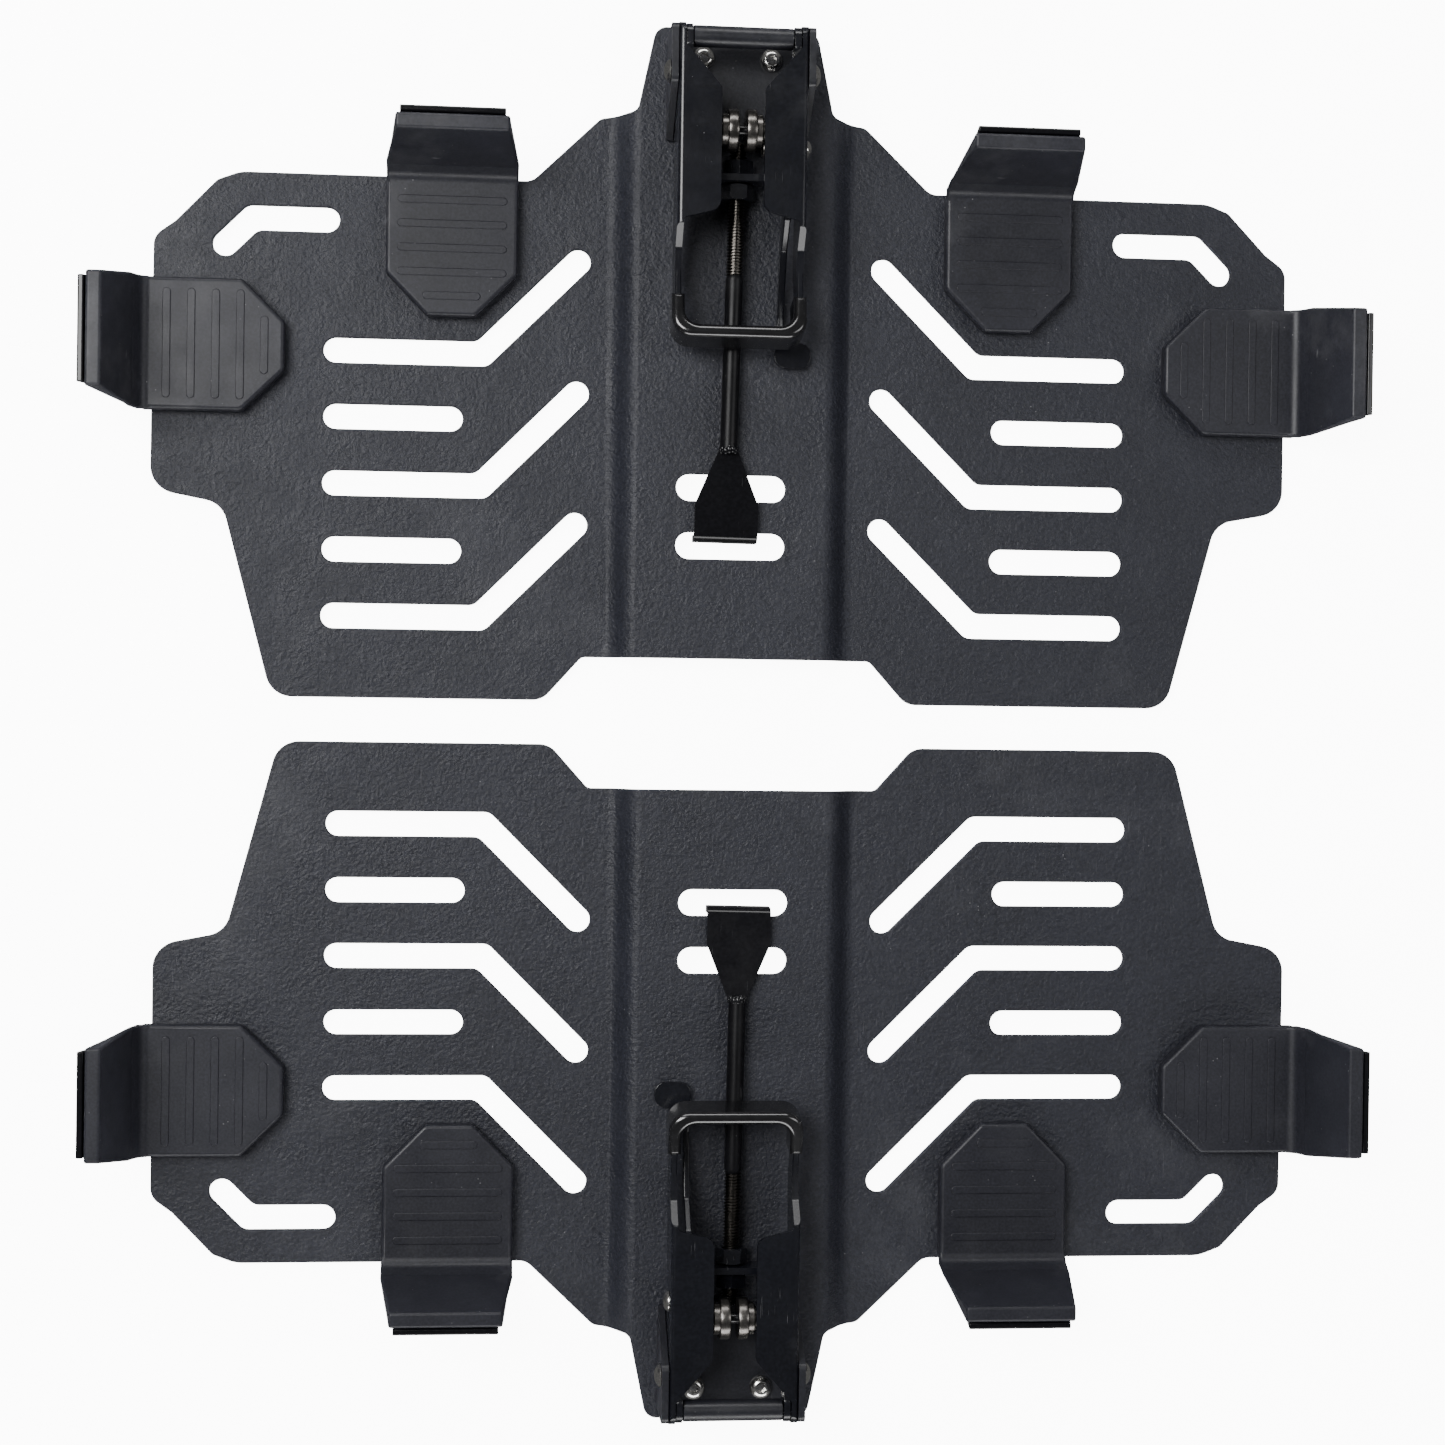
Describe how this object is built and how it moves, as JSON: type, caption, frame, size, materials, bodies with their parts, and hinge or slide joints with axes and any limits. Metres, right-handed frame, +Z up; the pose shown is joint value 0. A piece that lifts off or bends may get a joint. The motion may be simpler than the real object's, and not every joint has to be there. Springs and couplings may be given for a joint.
{
  "type": "bed cargo bar",
  "caption": "Pair of slotted hook-on cargo plates with rubber-booted hooks, each with an over-centre lever latch, threaded rod and T-hook.",
  "frame": {"origin": "centre of the bounding box of both units on the floor they lie on", "axes": "+Z up out of the plates' hook side, +Y from the front unit to the rear unit, +X to the rear unit's trigger side"},
  "size_m": [0.5758, 0.63, 0.054],
  "materials": {
    "powder_coat": "fine-textured black powder coat",
    "black_steel": "semi-gloss black coat over steel",
    "boot_rubber": "satin moulded black rubber",
    "dipped_vinyl": "glossy dipped black vinyl",
    "stainless": "dull bright steel",
    "dark_collar": "dark polished steel"
  },
  "bodies": {
    "rear_plate": {"rear_mounting_plate": "powder_coat", "rear_left_side_hook_strap": "black_steel", "rear_left_side_hook_boot": "boot_rubber", "rear_right_side_hook_strap": "black_steel", "rear_right_side_hook_boot": "boot_rubber", "rear_left_edge_hook_strap": "black_steel", "rear_left_edge_hook_boot": "boot_rubber", "rear_right_edge_hook_strap": "black_steel", "rear_right_edge_hook_boot": "boot_rubber", "rear_latch_base": "black_steel", "rear_left_base_screw": "stainless", "rear_right_base_screw": "stainless", "rear_left_pivot_rivet": "stainless", "rear_right_pivot_rivet": "stainless"},
    "rear_lever": {"rear_lever": "black_steel", "rear_lever_grip": "dipped_vinyl", "rear_cross_pin": "black_steel", "rear_cross_tube": "black_steel", "rear_trigger_pin": "stainless", "rear_trigger_spring": "dark_collar", "rear_roller_shaft": "black_steel", "rear_left_roller": "dark_collar", "rear_right_roller": "dark_collar"},
    "rear_yoke": {"rear_yoke": "black_steel", "rear_inner_lock_nut": "black_steel", "rear_outer_lock_nut": "black_steel"},
    "rear_rod": {"rear_hook_rod": "black_steel", "rear_t_hook": "black_steel"},
    "rear_trigger": {"rear_trigger": "black_steel"},
    "front_plate": {"front_mounting_plate": "powder_coat", "front_left_side_hook_strap": "black_steel", "front_left_side_hook_boot": "boot_rubber", "front_right_side_hook_strap": "black_steel", "front_right_side_hook_boot": "boot_rubber", "front_left_edge_hook_strap": "black_steel", "front_left_edge_hook_boot": "boot_rubber", "front_right_edge_hook_strap": "black_steel", "front_right_edge_hook_boot": "boot_rubber", "front_latch_base": "black_steel", "front_left_base_screw": "stainless", "front_right_base_screw": "stainless", "front_left_pivot_rivet": "stainless", "front_right_pivot_rivet": "stainless"},
    "front_lever": {"front_lever": "black_steel", "front_lever_grip": "dipped_vinyl", "front_cross_pin": "black_steel", "front_cross_tube": "black_steel", "front_trigger_pin": "stainless", "front_trigger_spring": "dark_collar", "front_roller_shaft": "black_steel", "front_left_roller": "dark_collar", "front_right_roller": "dark_collar"},
    "front_yoke": {"front_yoke": "black_steel", "front_inner_lock_nut": "black_steel", "front_outer_lock_nut": "black_steel"},
    "front_rod": {"front_hook_rod": "black_steel", "front_t_hook": "black_steel"},
    "front_trigger": {"front_trigger": "black_steel"}
  },
  "joints": [
    {"name": "rear_lever_hinge", "type": "hinge", "parent": "rear_plate", "child": "rear_lever", "pos_m": [-0.0018, 0.289, 0.0385], "axis": [-1, 0, 0], "range_deg": [0, 150]},
    {"name": "rear_yoke_hinge", "type": "hinge", "parent": "rear_lever", "child": "rear_yoke", "pos_m": [-0.0018, 0.3044, 0.0405], "axis": [-1, 0, 0], "range_deg": [-105, 0]},
    {"name": "rear_rod_adjust", "type": "slide", "parent": "rear_yoke", "child": "rear_rod", "axis": [-0.0157, -0.9992, -0.0366], "range_m": [0, 0.006]},
    {"name": "rear_trigger_hinge", "type": "hinge", "parent": "rear_lever", "child": "rear_trigger", "pos_m": [-0.0018, 0.2564, 0.0372], "axis": [-1, 0, 0], "range_deg": [0, 2.5], "stiffness_Nm_per_rad": 0.6, "springref_deg": -6.88},
    {"name": "front_lever_hinge", "type": "hinge", "parent": "front_plate", "child": "front_lever", "pos_m": [0.0018, -0.289, 0.0385], "axis": [1, 0, 0], "range_deg": [0, 150]},
    {"name": "front_yoke_hinge", "type": "hinge", "parent": "front_lever", "child": "front_yoke", "pos_m": [0.0018, -0.3044, 0.0405], "axis": [1, 0, 0], "range_deg": [-105, 0]},
    {"name": "front_rod_adjust", "type": "slide", "parent": "front_yoke", "child": "front_rod", "axis": [0.0157, 0.9992, -0.0366], "range_m": [0, 0.006]},
    {"name": "front_trigger_hinge", "type": "hinge", "parent": "front_lever", "child": "front_trigger", "pos_m": [0.0018, -0.2564, 0.0372], "axis": [1, 0, 0], "range_deg": [0, 2.5], "stiffness_Nm_per_rad": 0.6, "springref_deg": -6.88},
    {"name": "front_unit_lift", "type": "slide", "parent": "rear_plate", "child": "front_plate", "axis": [0, 0, 1], "range_m": [0, 0.12]}
  ],
  "couplings": [
    {"joint": "rear_yoke_hinge", "follows": "rear_lever_hinge", "ratio": -0.7},
    {"joint": "front_yoke_hinge", "follows": "front_lever_hinge", "ratio": -0.7}
  ]
}
